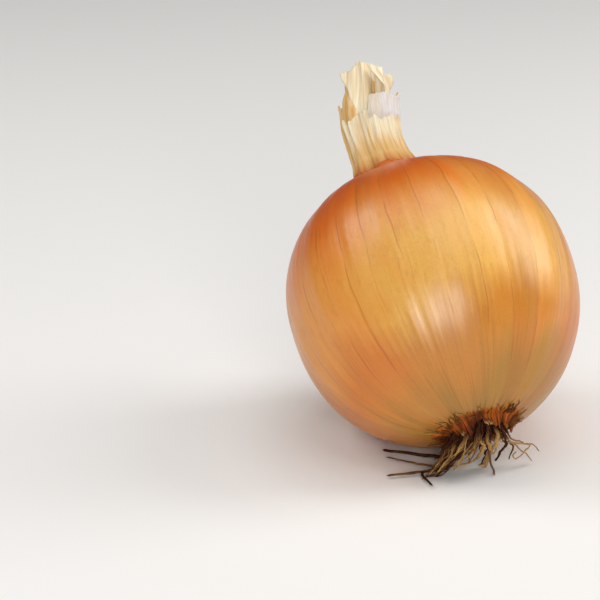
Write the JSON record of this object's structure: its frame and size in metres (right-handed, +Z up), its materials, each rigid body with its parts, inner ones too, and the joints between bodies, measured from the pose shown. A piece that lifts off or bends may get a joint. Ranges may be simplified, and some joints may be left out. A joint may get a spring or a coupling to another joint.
{
  "type": "onion",
  "caption": "Whole cured yellow onion lying on its flank: a round bulb in glossy papery skin, a dried torn neck leaning back, and a tuft of dry roots at the front.",
  "frame": {"origin": "middle of the flat spot on the bulb's flank that the onion rests on, straight below the bulb's middle", "axes": "+Z up, -Y towards the front, where the root end faces down and forwards; the neck leans back along +Y and a little towards -X"},
  "size_m": [0.0805, 0.0976, 0.0942],
  "materials": {
    "bulb_skin": "satin",
    "sheath_straw": "matte",
    "leaf_paper": "matte",
    "dry_root": "matte"
  },
  "bodies": {
    "root": {"bulb": "bulb_skin", "neck_sheath": "sheath_straw", "neck_inner_leaf": "leaf_paper", "roots": "dry_root"}
  },
  "joints": []
}
